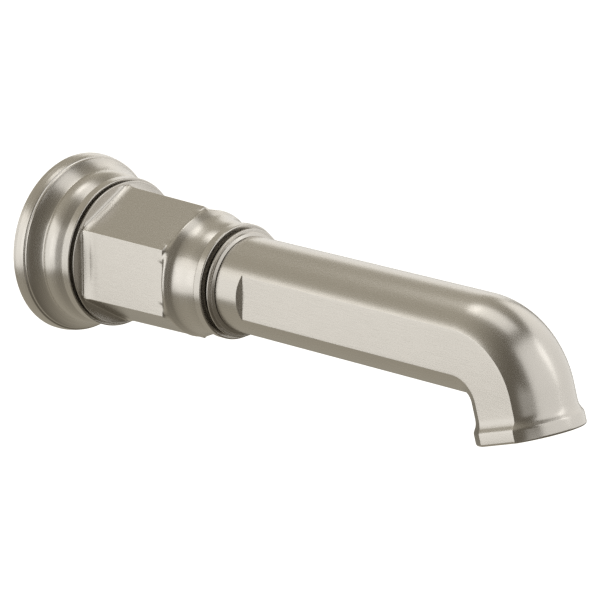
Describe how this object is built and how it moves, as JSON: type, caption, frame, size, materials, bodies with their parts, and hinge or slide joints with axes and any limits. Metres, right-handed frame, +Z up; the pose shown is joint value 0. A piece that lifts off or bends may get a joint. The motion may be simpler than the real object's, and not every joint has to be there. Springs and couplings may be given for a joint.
{
  "type": "wall mounted bath spout",
  "caption": "Wall mounted bath spout: round stepped flange, hexagonal body, round arm with flat sides, turned-down outlet with a pull-down diverter.",
  "frame": {"origin": "centre of the wall flange's back face, on the wall", "axes": "+Y into the wall, so the spout points along -Y; +Z up; +X to the right when facing the wall"},
  "size_m": [0.07, 0.2481, 0.07],
  "materials": {
    "nickel": "satin nickel plate",
    "brass": "turned",
    "steel": "bright stainless",
    "rubber": "matte",
    "acetal": "moulded"
  },
  "bodies": {
    "spout": {"wall_flange": "nickel", "wall_gasket": "rubber", "reveal_washer": "rubber", "flange_ring_seal": "rubber", "hex_body": "nickel", "set_screw": "steel", "supply_adapter": "brass", "adapter_ring_seal_rear": "rubber", "adapter_ring_seal_front": "rubber", "arm_nipple": "brass", "neck_face_seal": "rubber", "spout_arm": "nickel", "arm_collar": "nickel", "neck_spacer_ring": "rubber", "outlet_bushing": "brass", "outlet_ring_seal": "rubber", "stem_guide": "acetal", "return_spring": "steel"},
    "diverter": {"pull_ring": "nickel", "diverter_stem": "steel", "diverter_plug": "brass", "plug_washer": "rubber", "plug_nut": "steel"}
  },
  "joints": [
    {"name": "diverter_pull", "type": "slide", "parent": "spout", "child": "diverter", "axis": [0, -0.2924, -0.9563], "range_m": [0, 0.0048], "stiffness_N_per_m": 400, "springref_m": -0.002, "deforming": ["return_spring"]}
  ]
}
